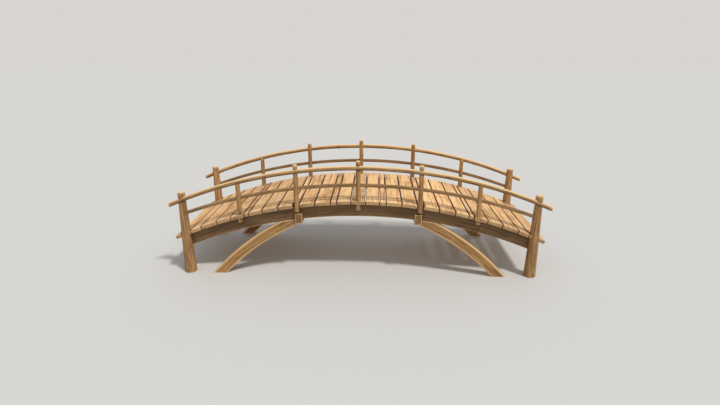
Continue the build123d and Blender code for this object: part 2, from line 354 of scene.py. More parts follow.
@dataclass(frozen=True)
class PaleFloor(Finish):
    """Plain matt studio floor."""

    name: str = "studio_floor"
    colour: str = "#D4D5D5"

    def look(self, graph: Graph) -> dict[str, object]:
        """One matt colour."""
        return {"Base Color": linear(self.colour), "Roughness": 0.9, "Specular IOR Level": 0.0}


@dataclass(frozen=True)
class Finishes:
    """All finishes of the bridge, built once."""

    boards: Material
    logs: Material
    poles: Material
    arches: Material
    nails: Material

    @classmethod
    def build(cls) -> Finishes:
        """Make every material.

        Returns:
            The finishes, ready to be given to pieces.
        """
        # Sawn softwood boards, walked pale, with brown streaks of heartwood
        boards = WoodFinish("sawn_softwood_boards", "#FCD09A", "#E8B780", "#AF7844", "#BC8751",
                            "#FFE0B0", streak_mm=46.0, fibre_mm=9.0, end_grain=0.72,
                            streak_levels=(0.30, 0.42, 0.54), roughness=0.72)
        # Peeled spruce logs, weathered a little darker, with long dark fibres, and sawn ends made paler as a
        # painted highlight on the post tops
        logs = WoodFinish("peeled_spruce_logs", "#C69C68", "#B08757", "#835E39", "#93693F",
                          "#F0D0A0", streak_mm=20.0, fibre_mm=5.0, wear_strength=0.85,
                          end_grain=1.12)
        # Peeled poles and bars, rubbed pale and smooth by hands on top, with a painted highlight there
        poles = WoodFinish("peeled_spruce_poles", "#C49A66", "#AE8555", "#7F5C38", "#946B41",
                           "#F8D8A8", streak_mm=18.0, fibre_mm=5.0, wear_strength=0.9,
                           end_grain=1.0, roughness=0.6)
        # Sawn larch arches and beams, a little darker and redder
        arches = WoodFinish("sawn_larch_timber", "#BA8F5A", "#A47C4D", "#765533", "#875F39",
                            "#E6C08D", streak_mm=26.0, fibre_mm=7.0, wear_strength=0.78)
        return cls(boards.build(), logs.build(), poles.build(), arches.build(), ForgedIron().build())


# Mesh helpers


def linked(name: str, data: bpy.types.ID) -> Object:
    """Put data into the scene as an object.

    Args:
        name: Name of the object.
        data: Mesh, lamp or camera.

    Returns:
        The object, at the origin.
    """
    thing = bpy.data.objects.new(name, data)
    bpy.context.scene.collection.objects.link(thing)
    return thing


def new_piece(name: str, mesh: Mesh, material: Material) -> Object:
    """Put a mesh into the scene as a piece of the bridge.

    Args:
        name: Name of the piece.
        mesh: Its mesh.
        material: Its finish.

    Returns:
        The new piece.
    """
    mesh.name = name
    mesh.materials.clear()
    mesh.materials.append(material)
    return linked(name, mesh)


def stand_in(work: str, node: str, mesh: Mesh, material: Material) -> Object:
    """Put a mesh into the scene in place of a CAD node.

    Args:
        work: What was done to the timber, as the first word of the piece's name.
        node: CAD node that the piece replaces.
        mesh: Its mesh.
        material: Its finish.

    Returns:
        The new piece.
    """
    piece = new_piece(f"{work}_{node}", mesh, material)
    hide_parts(node)
    return piece


def opened(*meshes: Mesh) -> bmesh.types.BMesh:
    """Open meshes together, to work on them.

    Args:
        *meshes: One or more meshes.

    Returns:
        A work mesh that holds them all.
    """
    work = bmesh.new()
    for mesh in meshes:
        work.from_mesh(mesh)
    return work


def closed(work: bmesh.types.BMesh, mesh: Mesh, outwards: bool = True) -> Mesh:
    """Write a work mesh into a mesh and free it.

    Args:
        work: The work mesh.
        mesh: Mesh that takes its shape.
        outwards: Whether all faces are turned outwards first.

    Returns:
        The same mesh.
    """
    if outwards:
        bmesh.ops.recalc_face_normals(work, faces=work.faces)
    work.to_mesh(mesh)
    work.free()
    return mesh


def loft(rings: Sequence[Sequence[Vector]]) -> Mesh:
    """Skin a row of closed rings of equal length and close both ends.

    Args:
        rings: Rings of points, each turning the same way.

    Returns:
        A closed mesh whose faces point outwards.
    """
    count = len(rings[0])
    last = (len(rings) - 1) * count
    faces = [tuple(range(count - 1, -1, -1))]
    for low in range(0, last, count):
        for i in range(count):
            j = (i + 1) % count
            faces.append((low + i, low + j, low + count + j, low + count + i))
    faces.append(tuple(range(last, last + count)))
    mesh = bpy.data.meshes.new("loft")
    mesh.from_pydata([point for ring in rings for point in ring], [], faces)
    return closed(opened(mesh), mesh)


def evaluated(carrier: Object) -> Mesh:
    """Turn an object with its modifiers into a plain mesh.

    Args:
        carrier: The object, which goes away.

    Returns:
        The plain mesh.
    """
    graph = bpy.context.evaluated_depsgraph_get()
    mesh = bpy.data.meshes.new_from_object(carrier.evaluated_get(graph))
    bpy.data.objects.remove(carrier)
    return mesh


def cut(mesh: Mesh, tools: Sequence[Mesh]) -> Mesh:
    """Cut closed tool meshes out of a closed mesh.

    Args:
        mesh: Mesh to cut.
        tools: Closed meshes taken away from it.

    Returns:
        A new mesh with the tools' shapes taken out.
    """
    body = linked("body", mesh)
    cutters = [linked("cutter", tool) for tool in tools]
    for cutter in cutters:
        modifier = body.modifiers.new("cut", "BOOLEAN")
        modifier.operation = "DIFFERENCE"
        modifier.solver = "EXACT"
        modifier.object = cutter
    result = evaluated(body)
    for cutter in cutters:
        bpy.data.objects.remove(cutter)
    return result


def smooth(mesh: Mesh, angle: float) -> None:
    """Shade a mesh smooth and keep its sharp edges crisp.

    Args:
        mesh: Mesh to shade.
        angle: Angle in degrees from which an edge stays crisp.
    """
    mesh.shade_smooth()
    work = opened(mesh)
    for edge in work.edges:
        edge.smooth = len(edge.link_faces) == 2 and edge.calc_face_angle(0.0) < math.radians(angle)
    closed(work, mesh, outwards=False)


def nothing(point: Vector) -> float:
    """No pale weathering, painted highlight, painted shade or darkening anywhere."""
    return 0.0


@dataclass(frozen=True)
class Timber:
    """What one piece of wood needs to be painted: its grain, tone, pale weathering with painted highlight,
    and painted shade with darkening.
    """

    seed: int
    grain: Callable[[Vector], Triple]
    wear: Callable[[Vector], float] = nothing
    shade_and_darkening: Callable[[Vector], float] = nothing

    def paint(self, mesh: Mesh) -> Mesh:
        """Write the attributes that the finish reads.

        Args:
            mesh: Mesh in the bridge's own frame.

        Returns:
            The same mesh.
        """
        chance = random.Random(self.seed)
        shift = (chance.uniform(-40, 40), chance.uniform(-0.02, 0.02), chance.uniform(-0.02, 0.02))
        tone = chance.random()
        points = [vertex.co for vertex in mesh.vertices]
        vectors = {"grain": [a + b for point in points for a, b in zip(self.grain(point), shift)],
                   "fibre": [part for point in points for part in self.fibre(point)]}
        values = {"tone": [tone] * len(points), "wear": [self.wear(point) for point in points],
                  "shade_and_darkening": [self.shade_and_darkening(point) for point in points]}
        for name, data in vectors.items():
            mesh.attributes.new(name, "FLOAT_VECTOR", "POINT").data.foreach_set("vector", data)
        for name, data in values.items():
            mesh.attributes.new(name, "FLOAT", "POINT").data.foreach_set("value", data)
        return mesh

    def fibre(self, point: Vector, step: float = 0.001) -> Vector:
        """Direction of the fibres, in which the grain's first part grows.

        Args:
            point: Place on the piece.
            step: How far off the grain is compared.

        Returns:
            The direction, of length 1.
        """
        here = self.grain(point)[0]
        steps = (Vector((step, 0, 0)), Vector((0, step, 0)), Vector((0, 0, step)))
        return Vector([self.grain(point + way)[0] - here for way in steps]).normalized()


# Sizes that the parts share


@dataclass(frozen=True)
class Arch:
    """Arch of a circle in the XZ plane, highest over the middle of the bridge."""

    apex: float
    radius: float

    def z(self, x: float) -> float:
        """Height at x."""
        return self.apex - self.radius + math.sqrt(self.radius ** 2 - x * x)

    def at(self, arc: float) -> Vector:
        """Point at a distance along the arch from its top."""
        x, rise = self.radius * math.sin(arc / self.radius), self.radius * math.cos(arc / self.radius)
        return Vector((x, 0.0, self.apex - self.radius + rise))

    def unrolled(self, point: Vector) -> tuple[float, float]:
        """Distance along the arch and height over it of a point."""
        rise = point.z - self.apex + self.radius
        return (self.radius * math.atan2(point.x, rise), math.hypot(point.x, rise) - self.radius)


@dataclass(frozen=True)
class Layout:
    """Sizes that more than one part of the bridge needs, in metres."""

    half_span: float = 3.5
    end_post_y: float = 1.018
    railing_y: float = 1.032
    deck: Arch = Arch(1.512, 9.033)
    board_thickness: float = 0.072
    centre_board: float = 0.282
    board_widths: tuple[float, ...] = (0.274, 0.127, 0.309, 0.306, 0.124, 0.305, 0.319, 0.277,
                                       0.104, 0.279, 0.309, 0.339, 0.237, 0.351)
    tall_board: int = 4
    short_board: int = 9
    short_post_share: float = 0.36
    post_foot_radius: float = 0.051
    post_top_radius: float = 0.043
    top_rail: Arch = Arch(2.238, 9.430)
    top_rail_y: float = 1.040
    top_rail_radius: float = 0.046
    rail_seat_y: float = 1.036
    mid_rail: Arch = Arch(1.896, 10.058)
    mid_rail_y: float = 1.034
    girder_low: Arch = Arch(1.241, 9.069)
    girder_face_y: float = 0.985
    girder_thickness: float = 0.110

    @property
    def end_board(self) -> int:
        """Number of the outermost board."""
        return len(self.board_widths) - 1

    @property
    def edges(self) -> list[float]:
        """Gap middles along the deck's arch, from the centre board outwards."""
        return list(accumulate(self.board_widths, initial=self.centre_board / 2))

    def along_board(self, number: int, share: float) -> float:
        """X of a place on a board, as a share of its width from its inner edge."""
        low, high = self.edges[number:number + 2]
        return self.deck.at(low + (high - low) * share).x

    @property
    def tall_post_x(self) -> float:
        """X of the tall posts."""
        return self.along_board(self.tall_board, 0.5)

    @property
    def short_post_x(self) -> float:
        """X of the short posts."""
        return self.along_board(self.short_board, self.short_post_share)


# Deck


@dataclass(frozen=True)
class Board:
    """One board: its gaps along the arch, its length, its place, its pale weathering with painted highlight,
    and its painted shade.
    """

    layout: Layout
    number: int
    low: float
    high: float
    half_back: float
    half_front: float
    gap: float = 0.018
    top_round: float = 0.008
    bottom_round: float = 0.004
    cup: float = 0.0018
    gap_shade_reach: float = 0.014
    unshaded_end: float = 0.003
    steps: int = 40

    @property
    def chord(self) -> Vector:
        """Way from the gap on one side to the gap on the other."""
        return self.layout.deck.at(self.high) - self.layout.deck.at(self.low)

    @property
    def across(self) -> Vector:
        """Direction across the board, along the bridge."""
        return self.chord.normalized()

    @property
    def up(self) -> Vector:
        """Direction square to the board's face."""
        return Vector((-self.across.z, 0.0, self.across.x))

    @property
    def middle(self) -> Vector:
        """Middle of the board's underside."""
        return (self.layout.deck.at(self.high) + self.layout.deck.at(self.low)) / 2

    @property
    def width(self) -> float:
        """Width without the gap."""
        return self.chord.length - self.gap

    def cracks(self) -> list[Triple]:
        """Drying cracks in the face of a wide board.

        Returns:
            Place across, depth and length of each; a length below 0 starts at the front end.
        """
        chance = random.Random(self.number * 7 + 3)
        out = []
        for share in (-0.55, 0.1, 0.6)[:3 if self.width > 0.15 else 0]:
            length = chance.choice((-1, 1)) * chance.uniform(0.05, 0.42)
            out.append((self.width / 2 * (share + chance.uniform(-0.12, 0.12)),
                        chance.uniform(0.006, 0.014), length))
        return out

    def section(self, y: float) -> list[tuple[float, float]]:
        """Outline across the board, with worn upper edges and open cracks.

        Args:
            y: Place along the board.

        Returns:
            Points across and up, turning once round.
        """
        half = self.width / 2
        thick = self.layout.board_thickness
        left, right = (self.top_round * (1 + 0.55 * noise.noise(Vector((y * 3.1, self.number * k, k))))
                       for k in (7.3, 5.9))
        dip = self.cup * (1 + noise.noise(Vector((y * 1.7, self.number * 3.3, 4.5))))
        low = self.bottom_round
        # Where the painted shade of the gaps fades out, on the upper and lower face
        shade_limit = half - self.gap_shade_reach
        face = [(0.0, thick - dip), (shade_limit, thick), (-shade_limit, thick)]
        for place, depth, length in self.cracks():
            into = (y + self.half_front) if length < 0 else (self.half_back - y)
            open_share = max(0.0, 1 - into / abs(length))
            middle = place + 0.006 * noise.noise(Vector((y * 2.2, place * 30, self.number)))
            gape = 0.0006 + 0.0016 * open_share
            rim = thick - dip * 0.5
            face += [(middle - gape, rim), (middle, rim - depth * open_share ** 0.5), (middle + gape, rim)]
        face.sort(reverse=True)
        return [(-half + low, 0.0), (-shade_limit, 0.0), (shade_limit, 0.0), (half - low, 0.0), (half, low),
                (half, thick * 0.5), (half, thick - right), (half - right * 0.3, thick - right * 0.3),
                (half - right, thick), *face, (-half + left, thick),
                (-half + left * 0.3, thick - left * 0.3), (-half, thick - left), (-half, thick * 0.5),
                (-half, low)]

    def stations(self) -> list[tuple[float, float]]:
        """Places along the board.

        Returns:
            Each place with the inset that rounds the ends.
        """
        start, end = -self.half_front, self.half_back
        rows = [(start, 0.004), (start + 0.002, 0.0014), (start + 0.006, 0.0)]
        rows += [(start + 0.02 + (end - start - 0.04) * i / self.steps, 0.0) for i in range(self.steps + 1)]
        return rows + [(end - 0.006, 0.0), (end - 0.002, 0.0014), (end, 0.004)]

    def mesh(self, holes: Sequence[Mesh]) -> Mesh:
        """Build and paint the board.

        Args:
            holes: Meshes cut out of it for posts.

        Returns:
            The painted mesh.
        """
        rings = []
        for y, inset in self.stations():
            narrow = 1 - 2 * inset / self.width
            flat = 1 - 2 * inset / self.layout.board_thickness
            rings.append([self.middle + self.across * (u * narrow) + self.up * (v * flat + inset)
                          + Vector((0.0, y, 0.0)) for u, v in self.section(y)])
        mesh = loft(rings)
        if holes:
            mesh = cut(mesh, holes)
        smooth(mesh, 32.0)
        return Timber(100 + self.number, self.grain, self.wear, self.shade_and_darkening).paint(mesh)

    def local(self, point: Vector) -> Triple:
        """Place of a point along, across and up from the board's middle."""
        away = point - self.middle
        return (away.y, away.dot(self.across), away.dot(self.up))

    def depths(self, point: Vector) -> Triple:
        """How far a point lies from the nearer side, the nearer end and the upper face."""
        along, across, up = self.local(point)
        return (self.width / 2 - abs(across), min(self.half_back - along, self.half_front + along),
                self.layout.board_thickness - up)

    def grain(self, point: Vector) -> Triple:
        """Fibres run along the board, with the pith below it."""
        along, across, up = self.local(point)
        return (along, across + 0.07 * math.sin(self.number * 1.7), up + 0.10)

    def wear(self, point: Vector) -> float:
        """Weather turns the upper edges of the ends pale, with a painted highlight over them."""
        _, end, top = self.depths(point)
        return max(0.0, 1 - math.hypot(end, top) / 0.014)

    def shade_and_darkening(self, point: Vector) -> float:
        """Painted shade down the sides in the gaps, up to the rounded edges, and darkening in open cracks.

        Args:
            point: Place on the board.

        Returns:
            Amount of painted shade and darkening, from 0 to 1.
        """
        side, end, top = self.depths(point)
        # Painted shade on the sides, in the gaps, kept off the very ends
        in_gap = min(1.0, (self.gap_shade_reach - side) / 0.008) if end > self.unshaded_end else 0.0
        in_crack = min(1.0, top / 0.006) if side > 0.012 and 0.0045 < top < 0.02 else 0.0
        return max(0.0, in_gap, in_crack if end > self.unshaded_end else 0.25 * in_crack)

    def nails(self) -> list[Nail]:
        """Nail heads over the girders, two to a wide board and one to a narrow one.

        Returns:
            Places on the board's face, each with its direction.
        """
        offsets = (0.0,) if self.width < 0.14 else (-self.width * 0.29, self.width * 0.29)
        line = self.layout.girder_face_y - self.layout.girder_thickness / 2
        out = []
        for side in Side:
            for number, offset in enumerate(offsets):
                top = self.middle + self.across * offset
                top += self.up * (self.layout.board_thickness - self.cup * 0.5)
                top.y = side.value * (line + 0.016 * number - 0.008)
                out.append((top, self.up))
        return out


@dataclass
class Deck:
    """Boards laid across the girders, and the nails that hold them."""

    layout: Layout
    finishes: Finishes
    half_width: float = 1.088
    unevenness: float = 0.009
    clearance: float = 0.005
    end_post_hole: float = 0.1015
    nails: list[Nail] = field(default_factory=list)

    @property
    def thin_hole(self) -> float:
        """Radius of the holes round the thinner posts."""
        return self.layout.post_foot_radius + self.clearance

    def half_length(self, number: int) -> float:
        """Half length of a board, a little uneven."""
        return self.half_width + self.unevenness * math.sin(2.4 * number + 0.7)

    def holes(self, x: float, y: float, radius: float) -> list[Mesh]:
        """Upright round tools that cut a board away round the posts at both sides."""
        turns = [math.tau * i / 48 for i in range(48)]
        return [loft([[Vector((x + radius * math.cos(turn), side.value * y + radius * math.sin(turn), z))
                       for turn in turns] for z in (0.3, 2.4)]) for side in Side]

    def groups(self) -> dict[str, Sequence[int]]:
        """Node names without the end's word, each with the numbers of its boards."""
        tall, short, last = self.layout.tall_board, self.layout.short_board, self.layout.end_board
        return {"boards_inner": range(0, tall), "board_tall_post": (tall,),
                "boards_middle": range(tall + 1, short), "board_short_post": (short,),
                "boards_outer": range(short + 1, last), "board_end": (last,)}

    def side_board(self, number: int, end: End) -> Mesh:
        """Build one board beside the centre one.

        Args:
            number: Number of the board, from the middle outwards.
            end: End of the bridge that it lies towards.

        Returns:
            The painted mesh.
        """
        layout = self.layout
        back, front = self.half_length(number), self.half_length(number + 20)
        holes = []
        if number == layout.tall_board:
            back = front = layout.railing_y - layout.post_foot_radius - self.clearance
        elif number == layout.short_board:
            holes = self.holes(end.value * layout.short_post_x, layout.railing_y, self.thin_hole)
        elif number == layout.end_board:
            holes = self.holes(end.value * layout.half_span, layout.end_post_y, self.end_post_hole)
        low, high = sorted(end.value * edge for edge in layout.edges[number:number + 2])
        board = Board(layout, number + 40 * (end is End.LEFT), low, high, back, front)
        self.nails += board.nails()
        return board.mesh(holes)

    def build(self) -> list[Object]:
        """Build every board.

        Returns:
            One object for each node of boards.
        """
        half = self.layout.edges[0]
        centre = Board(self.layout, 90, -half, half, self.half_width, self.half_width)
        self.nails += centre.nails()
        meshes = {"board_centre": [centre.mesh(self.holes(0.0, self.layout.railing_y, self.thin_hole))]}
        for end in End:
            for node, numbers in self.groups().items():
                meshes[f"{node}_{end.word}"] = [self.side_board(number, end) for number in numbers]
        return [stand_in("worn", node, closed(opened(*boards), bpy.data.meshes.new(node), outwards=False),
                         self.finishes.boards) for node, boards in meshes.items()]


# What geometry nodes make


@dataclass
class NodeShape:
    """A shape made by a geometry node tree with named inputs."""

    name: str
    inputs: dict[str, tuple[str, object]]
    tree: NodeTree = field(init=False)
    graph: Graph = field(init=False)
    given: bpy.types.NodeOutputs = field(init=False)

    def __post_init__(self) -> None:
        """Make the tree with its inputs."""
        self.tree = bpy.data.node_groups.new(self.name, "GeometryNodeTree")
        self.graph = Graph(self.tree)
        face = self.tree.interface
        face.new_socket("Geometry", in_out="INPUT", socket_type="NodeSocketGeometry")
        for name, (kind, value) in self.inputs.items():
            face.new_socket(name, in_out="INPUT", socket_type=f"NodeSocket{kind}").default_value = value
        face.new_socket("Finish", in_out="INPUT", socket_type="NodeSocketMaterial")
        face.new_socket("Geometry", in_out="OUTPUT", socket_type="NodeSocketGeometry")
        self.given = self.graph.add("NodeGroupInput").node.outputs

    def end(self, geometry: NodeSocket) -> None:
        """Realize the instances, set the finish and close the tree.

        Args:
            geometry: What the tree has made.
        """
        solid = self.graph.add("GeometryNodeRealizeInstances", {0: geometry})
        dressed = self.graph.add("GeometryNodeSetMaterial", {
            "Geometry": solid, "Material": self.given["Finish"]})
        self.graph.add("NodeGroupOutput", {0: dressed})

    def run(self, source: Mesh, values: dict[str, object]) -> Mesh:
        """Run the tree on a mesh.

        Args:
            source: Mesh that goes in.
            values: Input names and values.

        Returns:
            What comes out, as a plain mesh with its faces outwards.
        """
        carrier = linked("carrier", source)
        modifier = carrier.modifiers.new(self.name, "NODES")
        modifier.node_group = self.tree
        for item in self.tree.interface.items_tree:
            if item.in_out == "INPUT" and item.name in values:
                modifier[item.identifier] = values[item.name]
        mesh = evaluated(carrier)
        work = opened(mesh)
        bmesh.ops.remove_doubles(work, verts=work.verts, dist=1e-5)
        return closed(work, mesh)


@dataclass
class Nails:
    """Forged nail heads, low cones with a flat top, on points along directions."""

    finishes: Finishes
    points: Sequence[Nail]
    radius: float = 0.009
    height: float = 0.0032
    sides: int = 10

    def shape(self) -> NodeShape:
        """Make the tree that puts a head on every point along its direction.

        Returns:
            The shape, ready to run.
        """
        shape = NodeShape("nail_heads", {"Radius": ("Float", self.radius), "Height": ("Float", self.height),
                                         "Sides": ("Int", self.sides), "Seed": ("Int", 4)})
        graph, given = shape.graph, shape.given
        top = graph.add(MATH, {0: given["Radius"], 1: 0.6}, operation="MULTIPLY")
        head = graph.add("GeometryNodeMeshCone", {
            "Vertices": given["Sides"], "Radius Bottom": given["Radius"], "Depth": given["Height"],
            "Radius Top": top}, "Mesh", fill_type="NGON")
        way = graph.add("GeometryNodeInputNamedAttribute", {"Name": "direction"}, data_type="FLOAT_VECTOR")
        turn = graph.add("FunctionNodeAlignRotationToVector", {"Vector": way}, axis="Z")
        size = graph.add("FunctionNodeRandomValue", {2: 0.85, 3: 1.12, "Seed": given["Seed"]}, 1,
                         data_type="FLOAT")
        shape.end(graph.add("GeometryNodeInstanceOnPoints", {
            "Points": given["Geometry"], "Instance": head, "Rotation": turn, "Scale": size}))
        return shape

    def build(self) -> Object:
        """Make all nail heads as one plain mesh.

        Returns:
            The object that holds them.
        """
        seeds = bpy.data.meshes.new("nail_points")
        seeds.from_pydata([point for point, _ in self.points], [], [])
        direction = seeds.attributes.new("direction", "FLOAT_VECTOR", "POINT")
        direction.data.foreach_set("vector", [value for _, way in self.points for value in way])
        mesh = self.shape().run(seeds, {"Finish": self.finishes.nails})
        return new_piece("nail_heads", mesh, self.finishes.nails)


# Posts


@dataclass(frozen=True)
class Log:
    """Upright peeled log, dressed with a drawknife into long flats, with drying cracks."""

    x: float
    y: float
    low: float
    high: float
    low_radius: float
    high_radius: float
    seed: int
    sides: int = 72
    flats: int = 9
    cracks: int = 3
    crack_width: float = 0.0016
    step: float = 0.04
    ease: float = 0.005

    @property
    def length(self) -> float:
        """Height of the log."""
        return self.high - self.low

    @property
    def crack_lines(self) -> list[tuple[float, float, float, float]]:
        """Angle, middle height, half length and depth of each drying crack."""
        chance = random.Random(self.seed * 3 + 1)
        return [(chance.uniform(0, math.tau), chance.uniform(0.1, 0.9) * self.length,
                 chance.uniform(0.15, 0.4) * self.length, chance.uniform(0.05, 0.13) * self.low_radius)
                for _ in range(self.cracks)]

    @property
    def angles(self) -> list[float]:
        """Angles of the ring's points, close together at each crack.

        Returns:
            The angles, from small to large.
        """
        out = [math.tau * i / self.sides for i in range(self.sides)]
        width = self.crack_width / self.low_radius
        for angle, *_ in self.crack_lines:
            out = [other for other in out if abs(other - angle) > 2.5 * width]
            out += [angle - width, angle, angle + width]
        return sorted(out)

    def reach(self, angle: float, height: float) -> float:
        """Share of the radius that is left by the drawknife and by time.

        Args:
            angle: Place round the log.
            height: Place up the log.

        Returns:
            The share, a little below 1, so that the log stays inside its CAD shape.
        """
        chance = random.Random(self.seed)
        flat = 1.0
        for k in range(self.flats):
            middle = math.tau * (k + chance.uniform(-0.3, 0.3)) / self.flats
            middle += 0.10 * noise.noise(Vector((height * 0.9, k, self.seed)))
            inset = chance.uniform(0.965, 0.992) + 0.010 * noise.noise(Vector((height * 1.5, k, -self.seed)))
            facing = math.cos(angle - middle)
            if facing > 0.5:
                flat = min(flat, inset / facing)
        swell = 0.012 * noise.noise(Vector((math.cos(angle), math.sin(angle), height * 1.6 + self.seed)))
        return min(0.99, flat + swell + 0.002)

    def crack(self, angle: float, height: float) -> float:
        """Depth of the cracks at a place, which is 0 beside them."""
        return max((deep * max(0.0, 1 - ((height - middle) / half) ** 2)
                    for line, middle, half, deep in self.crack_lines if abs(angle - line) < 1e-6),
                   default=0.0)

    def mesh(self) -> Mesh:
        """Build the log, not yet cut or painted.

        Returns:
            The closed mesh.
        """
        length, ease = self.length, self.ease
        count = max(8, int(length / self.step))
        heights = [(0.0, 0.003), (0.003, 0.0)]
        heights += [(0.01 + (length - 0.02 - ease) * i / count, 0.0) for i in range(count + 1)]
        heights += [(length - ease, 0.0), (length - ease * 0.3, ease * 0.3), (length, ease)]
        rings = []
        for height, inset in heights:
            radius = self.low_radius + (self.high_radius - self.low_radius) * height / length
            outs = [(angle, radius * self.reach(angle, height) - inset - self.crack(angle, height))
                    for angle in self.angles]
            rings.append([Vector((self.x + out * math.cos(angle), self.y + out * math.sin(angle),
                                  self.low + height)) for angle, out in outs])
        return loft(rings)

    def radius_at(self, z: float) -> float:
        """Full radius at a height."""
        return self.low_radius + (self.high_radius - self.low_radius) * ((z - self.low) / self.length)

    def away(self, point: Vector) -> float:
        """Distance of a point from the log's middle line."""
        return math.hypot(point.x - self.x, point.y - self.y)

    def grain(self, point: Vector) -> Triple:
        """Fibres run up the log."""
        return (point.z, point.x - self.x, point.y - self.y)

    def wear(self, point: Vector) -> float:
        """The top is weathered pale, most of all at its rim, with a painted highlight over both.

        Args:
            point: Place on the log.

        Returns:
            Amount of weathering and painted highlight, from 0 to 1.
        """
        below = self.high - point.z
        rim = max(0.0, self.radius_at(point.z) - 0.006 - self.away(point))
        face = 0.7 if below < 0.006 else 0.0
        return max(face, 1 - math.hypot(below * 0.6, rim) / 0.02)

    def shade_and_darkening(self, point: Vector) -> float:
        """Darker inside the cracks, except on the cut ends.

        Args:
            point: Place on the log.

        Returns:
            Amount of darkening, from 0 to 1.
        """
        share = self.away(point) / self.radius_at(point.z)
        at_end = min(point.z - self.low, self.high - point.z) < 0.008
        return 0.0 if share < 0.75 or at_end else min(0.9, max(0.0, (0.93 - share) / 0.04))


@dataclass
class Posts:
    """Tapered logs at the ends and the thinner posts between them."""

    layout: Layout
    finishes: Finishes
    end_foot_radius: float = 0.121
    end_top_radius: float = 0.068
    slack: float = 0.0005
    outside: float = 1.4
    slot_half: float = 3.9
    pocket_depth: float = 0.3
    pocket_half: float = 3.56
    steps: int = 48

    def band(self, side: Side, inner: float, outer: float, half: float,
             lines: Callable[[float], tuple[Vector, Vector]]) -> Mesh:
        """Build an arched band that cuts posts.

        Args:
            side: Side of the bridge that it lies on.
            inner: Distance of its inner face from the middle of the bridge.
            outer: Distance of its outer face.
            half: How far it reaches along the bridge both ways.
            lines: Its lower and upper point at a place along the bridge.

        Returns:
            The closed mesh.
        """
        rings = []
        for i in range(self.steps + 1):
            low, high = lines(-half + 2 * half * i / self.steps)
            rings.append([point + Vector((0.0, side.value * y, 0.0)) for point, y in
                          ((low, inner), (low, outer), (high, outer), (high, inner))])
        return loft(rings)

    def rail_lines(self, along: float) -> tuple[Vector, Vector]:
        """Underside and top of the space that the top rail fills.

        Args:
            along: Distance along the rail from its top.

        Returns:
            Lower and upper point.
        """
        rail = self.layout.top_rail
        middle = rail.at(along)
        away = Vector((middle.x, 0.0, middle.z - rail.apex + rail.radius)).normalized()
        away *= self.layout.top_rail_radius + self.slack
        return middle - away, middle + away

    def girder_lines(self, x: float) -> tuple[Vector, Vector]:
        """Underside and top of the girder, with 1 mm to spare under the boards."""
        low, high = self.layout.girder_low.z(x), self.layout.deck.z(x) + 0.001
        return Vector((x, 0.0, low)), Vector((x, 0.0, high))

    def build(self) -> list[Object]:
        """Build every post.

        Returns:
            The posts.
        """
        layout = self.layout
        thin = (layout.post_foot_radius, layout.post_top_radius)
        thick = (self.end_foot_radius, self.end_top_radius)
        face = layout.girder_face_y
        pieces = []
        for side in Side:
            kinds = [(f"centre_post_{side.word}", 0.0, layout.railing_y, thin)]
            for end in End:
                kinds += [(f"{kind}_{side.word}_{end.word}", end.value * x, y, radii) for kind, x, y, radii in
                          (("tall_post", layout.tall_post_x, layout.railing_y, thin),
                           ("short_post", layout.short_post_x, layout.railing_y, thin),
                           ("end_post", layout.half_span, layout.end_post_y, thick))]
            for node, x, y, radii in kinds:
                low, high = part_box(node)
                log = Log(x, side.value * y, low.z, high.z, *radii, 201 + len(pieces))
                tools = [self.band(side, face - self.pocket_depth, face, self.pocket_half,
                                   self.girder_lines)]
                if not node.startswith("short"):
                    tools.append(self.band(side, layout.rail_seat_y, self.outside, self.slot_half,
                                           self.rail_lines))
                mesh = cut(log.mesh(), tools)
                smooth(mesh, 14.0)
                Timber(log.seed, log.grain, log.wear, log.shade_and_darkening).paint(mesh)
                pieces.append(stand_in("peeled", node, mesh, self.finishes.logs))
        return pieces


# Railing


@dataclass(frozen=True)
class Bar:
    """A bar bent along an arch: its section, how uneven it is, its pale weathering with painted highlight,
    and its painted shade.
    """

    node: str
    arch: Arch
    y: float
    half_length: float
    thickness: float
    depth: float
    corner: float
    unevenness: float
    hand_wear: float
    dullness: float
    seed: int

    def grain(self, point: Vector) -> Triple:
        """Fibres follow the bend."""
        along, over = self.arch.unrolled(point)
        return (along, over, point.y - self.y)

    def wear(self, point: Vector) -> float:
        """Hands rub the top pale and the ends are weathered pale, with a painted highlight over both.

        Args:
            point: Place on the bar.

        Returns:
            Amount of weathering and painted highlight, from 0 to 1.
        """
        along, over = self.arch.unrolled(point)
        end = 1 - (self.half_length - abs(along)) / 0.05
        # Pale band along the top: rubbing by hands, with a painted highlight
        top = self.hand_wear * (over / (self.depth / 2) - 0.4)
        return min(1.0, max(0.0, end, top))

    def shade_and_darkening(self, point: Vector) -> float:
        """Painted shade on the underside, and on a mid bar a painted shadow of the top rail all round."""
        over = self.arch.unrolled(point)[1] / (self.depth / 2)
        return min(0.6, max(self.dullness, 0.7 * (0.08 - over)))

    def values(self) -> dict[str, object]:
        """Sizes by the names of the tree's inputs."""
        return {"Apex": self.arch.apex, "Arch Radius": self.arch.radius,
                "Half Angle": self.half_length / self.arch.radius, "Side": self.y,
                "Thickness": self.thickness, "Depth": self.depth, "Corner": self.corner,
                "Unevenness": self.unevenness, "Seed": self.seed}


